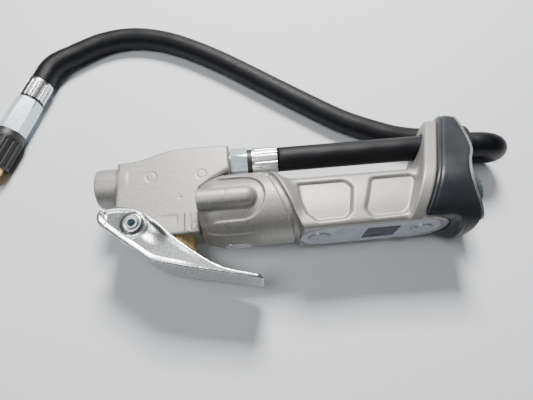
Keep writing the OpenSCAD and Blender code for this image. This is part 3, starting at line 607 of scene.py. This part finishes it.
def head_field(x, y, z):
    """The head's casting with its inlet boss, outlet collar and bores."""
    outline = polygon_distance(flat_curve(HEAD_TOP, 5) + HEAD_LOW, x, y)
    pivot = np.hypot(x - PIVOT[0], y - PIVOT[1])
    inlet = np.hypot(y - INLET_Y, z)
    outlet = np.hypot(y - OUTLET_Y, z)
    chamber = np.hypot(x - VALVE_X, z)
    d = plate(np.minimum(outline, pivot - LUG_R), z, head_face(x, y), HEAD_EDGE)
    d = melt(d, plate(inlet - BOSS[0], x - BOSS[1], BOSS[2], 0.9), 1.4)
    d = melt(d, plate(outlet - COLLAR[0], x - COLLAR[1], COLLAR[2], 0.6), 0.8)
    # Hollow that takes the handle's nose
    nose = np.interp(x, *SHOULDER) + NOSE_GAP - np.hypot(y - AXIS_Y, z)
    d = np.maximum(d, nose - OUT_OF_REACH * (x < NOSE_X))
    d = bore(d, inlet - THREAD_R - np.maximum(0, CHAMFER_X - x), x - THREAD_END, 0.3)
    for radius, end in PASSAGES:
        d = bore(d, inlet - radius, x - end, 0)
    d = bore(d, outlet - OUTLET_BORE_R, OUTLET_BORE_END - x, 0)
    d = bore(d, chamber - CHAMBER_MOUTH[0], y - CHAMBER_MOUTH[1], 0.2)
    d = bore(d, chamber - CHAMBER[0], y - CHAMBER[1], 0)
    return carve(d, pivot - PIN_HOLE_R + 0 * z, 0.3)


skin("valve_head_casting", head_field, (-104, -18.5, -12.6), (-28, 36, 12.6), 0.4,
     "inflator", "cast_aluminium", "valve_body")

# ---------------------------------------------------------------- lever

# Side outline of the lever, the hollow between its cheeks, and its outline seen from below
LEVER_TOP = [(-98.4, -4), (-96.8, -1.2), (-92, 0.2), (-87, 0.3), (-81.8, -0.6), (-74, -4.4), (-66.6, -10.2),
             (-58.8, -18.2), (-46, -28.7), (-39.8, -33), (-33, -36.3), (-24, -38.9), (-16.3, -40.9)]
LEVER_LOW = [(-15, -43.6), (-34, -39), (-54, -34.4), (-66.5, -31), (-72.4, -28.4), (-78.5, -23.6),
             (-86, -17.8), (-92.8, -12.2), (-97.2, -8.2), (-98.4, -4)]
BLADE_INSIDE = [(-95.6, 4), (-95.6, -4), (-94.4, -7.2), (-90.6, -11), (-84, -15.8), (-77, -20.5),
                (-71, -24.6), (-65.4, -27.7), (-54, -31.9), (-33, -36.6), (-20, -39.6), (-10, -36), (-10, 4)]
LEVER_PLAN = [(-106, -16), (-65, -15), (-18.5, -12.3), (-15.8, -11.2), (-15, -8.8), (-15, 8.8),
              (-15.8, 11.2), (-18.5, 12.3), (-65, 15), (-106, 16)]
# Half thickness over the cheeks and between them, and the rounding of their edges
CHEEK_HALF, CHEEK_INSIDE, CHEEK_EDGE = 14.4, 11.35, 1.15
# Raised boss round the pin: radius, half length and the radius of the groove round it
PIN_BOSS_R, PIN_BOSS_HALF, PIN_GROOVE_R = 5.3, 15.8, 6.6
# Pressed oval beside the boss: middle, cosine and sine of its turn, half sizes and depth
OVAL = (-69.6, -15.4)
OVAL_COS, OVAL_SIN = 0.766, 0.643
OVAL_HALF, OVAL_DEPTH = (9.5, 6.4), 1.1
# The nose stands a little proud inside this circle
NOSE_SPOT, NOSE_SPOT_R, NOSE_RISE = (-102.4, -6.4), 9.6, 0.45


def lever_face(x, y, outline, boss):
    """Half thickness of the lever's cheeks: a dished face with a raised rim and a pressed oval."""
    along = (x - OVAL[0]) * OVAL_COS - (y - OVAL[1]) * OVAL_SIN
    across = (x - OVAL[0]) * OVAL_SIN + (y - OVAL[1]) * OVAL_COS
    oval = 1 - step(0, 1, np.hypot(along / OVAL_HALF[0], across / OVAL_HALF[1]))
    dish = step(1.7, 3.4, -outline) * step(6.4, 8.2, boss) * (1 - step(-58, -46, x))
    nose = step(0, 0.9, NOSE_SPOT_R - np.hypot(x - NOSE_SPOT[0], y - NOSE_SPOT[1]))
    half = CHEEK_HALF - OVAL_DEPTH * oval * step(6.0, 8.4, boss) - 0.45 * dish + NOSE_RISE * nose
    half = half + 0.35 * line_mark(outline + 1.1, 0.8) * (1 - 0.6 * step(-50, -36, x))
    return half - 0.35 * line_mark(boss - PIN_GROOVE_R, 0.8)


def lever_field(x, y, z):
    """Channel-shaped lever: two cheeks and a blade, hollow towards the head."""
    outline = polygon_distance(flat_curve(LEVER_TOP, 4)[:-1] + flat_curve(LEVER_LOW, 4)[:-1], x, y)
    boss = np.hypot(x - PIVOT[0], y - PIVOT[1])
    d = plate(outline, z, lever_face(x, y, outline, boss), CHEEK_EDGE)
    d = -melt(-d, -polygon_distance(LEVER_PLAN, x, z), 1.2)
    d = melt(d, plate(boss - PIN_BOSS_R, z, PIN_BOSS_HALF, 0.9), 0.9)
    d = carve(d, np.maximum(polygon_distance(BLADE_INSIDE, x, y), np.abs(z) - CHEEK_INSIDE), 0.6)
    return carve(d, boss - PIN_HOLE_R + 0 * z, 0.5)


skin("squeeze_lever", lever_field, (-100, -45, -17.2), (-14, 2, 17.2), 0.4, "lever", "zinc_plate", "lever")

# ---------------------------------------------------------------- handle

# The end flange leans back by this angle, and FLANGE_T is its thickness along the tool
LEAN_ANGLE = math.radians(23.7)
BASE_Y, FLANGE_X, FLANGE_T, LOOP_R, LOOP_TOP = -3.7, 81.7, 7.0, 9.7, 34.5
FLANGE_BASE_R, FLANGE_LOW_Y = 24.1, -21.7
FLANGE_HALF = FLANGE_T / 2 * 0.916
# Holes for the hose and the battery, each (radius, start)
HOSE_HOLE_R, HOSE_HOLE_X = 7.5, 40
CELL_BORE_R, CELL_BORE_X = 7.65, 39
# Barrel: middle and half length, the seam round it and the depth of the groove before the grip
BARREL_MID, BARREL_HALF = -20, 26.2
SEAM_X, SEAM_DEPTH, GROOVE_DEPTH = -31.7, 0.42, 2.3
# Ribs along the barrel: where their round end is, its distance from the axis and its radius
RIB_X, RIB_OUT, RIB_R = -21.5, 19, 5.5
# Sunk bay round each rib: where its round end is, its radius and its depth
BAY_X, BAY_R, BAY_DEPTH = -24, 12.2, 1.5
# Grip: middle height, half height, half thickness and edge radius
GRIP_Y, GRIP_HALF_Y, GRIP_HALF_Z, GRIP_EDGE = -5.85, 15.85, 17, 3.4
# The grip's faces fall away above CROWN_Y by CROWN times the square of the height
CROWN, CROWN_Y = 0.0092, -13
# Middle of the display housing's round end and the housing's upper edge
HOUSING_X, HOUSING_TOP = 69, -14.7
# Sunk pockets of the grip
POCKET_R, POCKET_FLOOR, POCKET_SLOPE = 3, 14.9, 0.75
POCKETS = [[(7.4, 1.6), (30.2, 1.5), (31.4, -0.4), (28.4, -12.8), (26.6, -14.3), (14.8, -14.5),
            (11.8, -11.6)],
           [(48.4, 1.6), (42.6, -13.4), (43.4, -14.7), (57, -14.5), (59.8, -12.4), (66.4, 1.6)]]
# Display panel: middle, half of its straight length and radius of its round ends
PANEL_X, PANEL_STRAIGHT, PANEL_R = 44, 24, 14
# Upper ends of its seat and of the opening behind it
PANEL_SEAT_Y, PANEL_OPENING_Y = -19.3, -16.7
# Room behind the panel: middle and half size along x and y, and half size along z
ROOM_X, ROOM_Y, ROOM_HALF_Z = (42, 36), (-14.2, 3.5), 12.4


def end_shape(y, z, base_r, loop_r, top):
    """End view shared by the flange and the bumper: a round base that narrows to a small round top."""
    lean = math.asin((base_r - loop_r) / (top - loop_r - BASE_Y))
    flank = (y - BASE_Y) * math.sin(lean) + np.abs(z) * math.cos(lean) - base_r
    along = (y - BASE_Y) * math.cos(lean) - np.abs(z) * math.sin(lean)
    reach = (top - loop_r - BASE_Y) * math.cos(lean)
    base = np.hypot(y - BASE_Y, z) - base_r
    loop = np.hypot(y - (top - loop_r), z) - loop_r
    return np.where(along < 0, base, np.where(along > reach, loop, flank))


def groove_place(x, y):
    """Distance right of the slanted groove between barrel and grip."""
    return (x + 9.2 - 0.37 * (16 - y)) * 0.938


def flange_place(x, y):
    """Distance behind the front face of the leaning flange."""
    return (x - FLANGE_X - math.tan(LEAN_ANGLE) * (y - OUTLET_Y)) * math.cos(LEAN_ANGLE)


def round_end(x, y, z, r, top):
    """The display housing's end, round in plan, below a height."""
    return np.maximum(np.hypot(np.maximum(x - HOUSING_X, 0), z) - r, y - top)


def barrel_field(x, y, z, past):
    """Barrel with its nose, seam, tapering end, side lips and the two ribs in their sunk bays."""
    seam = SEAM_DEPTH * line_mark(x - SEAM_X, 0.4)
    groove = GROOVE_DEPTH * step(-2.2, -1.7, past) * (1 - step(1.2, 1.9, past))
    radius = np.interp(np.maximum(x, NOSE_X), *SHOULDER) - seam - groove
    rho = np.hypot(y - AXIS_Y, z)
    angle = np.degrees(np.arctan2(AXIS_Y - y, np.abs(z)))
    lip = 0.45 * step(56.8, 58.4, angle) * step(-44, -41, x) * (1 - step(-14.6, -13.8, x))
    d = (rho - radius - lip + 5.2 * step(1.9, 10.5, past)) * 0.94
    d = plate(d, x - BARREL_MID, BARREL_HALF, 0.8)
    bay = np.maximum(np.hypot(np.maximum(x - BAY_X, 0), y - AXIS_Y - 1) - BAY_R, 0.45 - np.abs(z))
    d = carve(d, np.maximum(bay, BARREL_R - BAY_DEPTH - rho), 0.9)
    rib = np.hypot(np.hypot(np.maximum(x - RIB_X, 0), y - AXIS_Y), np.abs(z) - RIB_OUT) - RIB_R + 0.6 * seam
    return melt(d, np.maximum(rib, NOSE_X - x), 1.3)


def grip_field(x, y, z, past):
    """Crowned grip with its sunk pockets and the display housing."""
    crown = CROWN * np.maximum(y - CROWN_Y, 0) ** 2
    section = plate(np.abs(y - GRIP_Y) - GRIP_HALF_Y, z, GRIP_HALF_Z - crown, GRIP_EDGE)
    d = np.maximum(section, 1.7 - past)
    d = np.maximum(d, np.minimum(flange_place(x, y) - 3, round_end(x, y, z, GRIP_HALF_Z, HOUSING_TOP)))
    level = np.abs(z) - POCKET_FLOOR + crown
    for pocket in POCKETS:
        wall = polygon_distance(pocket, x, y) - POCKET_R + 0.5 - POCKET_SLOPE * level
        d = carve(d, np.maximum(wall, -level), 1.0)
    return d


def handle_field(x, y, z):
    """The handle's casting from its nose to the end flange."""
    past = groove_place(x, y)
    d = melt(barrel_field(x, y, z, past), grip_field(x, y, z, past), 2.2)
    # Leaning end flange with the hose's loop
    outline = end_shape(y, z, FLANGE_BASE_R, LOOP_R, LOOP_TOP + LOOP_R)
    flange = np.maximum(outline, FLANGE_LOW_Y - y)
    d = melt(d, plate(flange, flange_place(x, y) - FLANGE_HALF, FLANGE_HALF, 0.9), 2.4)
    d = bore(d, np.hypot(y - OUTLET_Y, z) - HOSE_HOLE_R, HOSE_HOLE_X - x, 0.5)
    d = bore(d, np.hypot(y - AXIS_Y, z) - CELL_BORE_R, CELL_BORE_X - x, 0)
    # Seat of the display panel and the room behind it
    panel = np.hypot(np.maximum(np.abs(x - PANEL_X) - PANEL_STRAIGHT, 0), z) - PANEL_R
    d = bore(d, panel - 0.35, y - PANEL_SEAT_Y, 0.25)
    d = bore(d, panel + 2.4, y - PANEL_OPENING_Y, 0)
    room = np.maximum(np.abs(y - ROOM_Y[0]) - ROOM_Y[1], np.abs(z) - ROOM_HALF_Z)
    room = np.maximum(np.abs(x - ROOM_X[0]) - ROOM_X[1], room)
    return np.maximum(d, -room)


skin("handle_casting", handle_field, (-47.4, -24.5, -25.6), (100, 46, 25.6), 0.5,
     "inflator", "cast_aluminium", "handle")

# ---------------------------------------------------------------- bumper

# Side view of the end face, and the corners that close it in front
END_LINE = [(86, -28.8), (92, -28.4), (95.6, -26.6), (97, -23.4), (95.6, -18.4), (93.6, -12.6), (92.8, -6),
            (93.8, 1), (96.6, 7.4), (100.2, 13.6), (102.2, 20), (103.4, 28), (104.1, 36), (103.8, 42),
            (101.8, 46), (98, 48)]
END_CORNERS = [(99, 60), (40, 60), (40, -29.5), (86, -29.5)]
# Room under the flange that the bumper leaves free
FRONT_LOW = [(40, -45), (40, -21.7), (83, -21.7), (86.4, -23.1), (88, -26), (88.4, -45)]
BUMPER_BASE_R, BUMPER_LOOP_R, BUMPER_TOP = 24.5, 9.9, 47.2
BUMPER_GAP, FRONT_ROUND, END_ROUND = 0.15, 1.7, 0.5
# The groove that follows the front edge
LINE_BACK, LINE_DEPTH = 2.3, 0.35
# The cap's seat at the bore's mouth
CAP_SEAT_X, CAP_SEAT_STEP = 95.2, 1.3


def bumper_field(x, y, z):
    """Rubber bumper over the flange, with its groove line and the loop for the hose."""
    outline = end_shape(y, z, BUMPER_BASE_R, BUMPER_LOOP_R, BUMPER_TOP)
    side = polygon_distance(flat_curve(END_LINE, 3) + END_CORNERS, x, y)
    front = FLANGE_T * 0.916 + BUMPER_GAP - flange_place(x, y)
    below = polygon_distance(FRONT_LOW, x, y)
    d = rounded(outline, carve(front, below, 1.5), FRONT_ROUND)
    d = np.maximum(d, rounded(outline, side, END_ROUND))
    housing = round_end(x, y, z, GRIP_HALF_Z + 0.25, HOUSING_TOP + 0.2)
    edge = np.minimum(np.minimum(-front, below), housing)
    d = d + LINE_DEPTH * line_mark(edge - LINE_BACK, 0.5)
    d = carve(d, housing, 0.5)
    d = carve(d, np.hypot(y - OUTLET_Y, z) - HOSE_HOLE_R + 0 * x, 0.5)
    return bore(d, np.hypot(y - AXIS_Y, z) - CELL_BORE_R - CAP_SEAT_STEP * (x > CAP_SEAT_X), 60 - x, 0)


skin("rubber_bumper", bumper_field, (62, -30.5, -26), (108.5, 49, 26), 0.5,
     "inflator", "bumper_rubber", "end_bumper")

# ---------------------------------------------------------------- floor

FLOOR_HALF = 3.0

bm = bmesh.new()
bmesh.ops.create_grid(bm, x_segments=2, y_segments=2, size=FLOOR_HALF)
me = bpy.data.meshes.new("floor")
bm.to_mesh(me)
bm.free()
floor = link(bpy.data.objects.new("floor", me))
f = Finish("floor_paper", roughness=0.75)
fibre = f.noise(700, 3.0, 0.6)
floor.data.materials.append(f.set(
    Base_Color=f.ramp(fibre, [(0.3, (0.70, 0.72, 0.75)), (0.7, (0.73, 0.75, 0.78))]),
    Normal=f.bump(fibre, 0.04, 0.0002)))
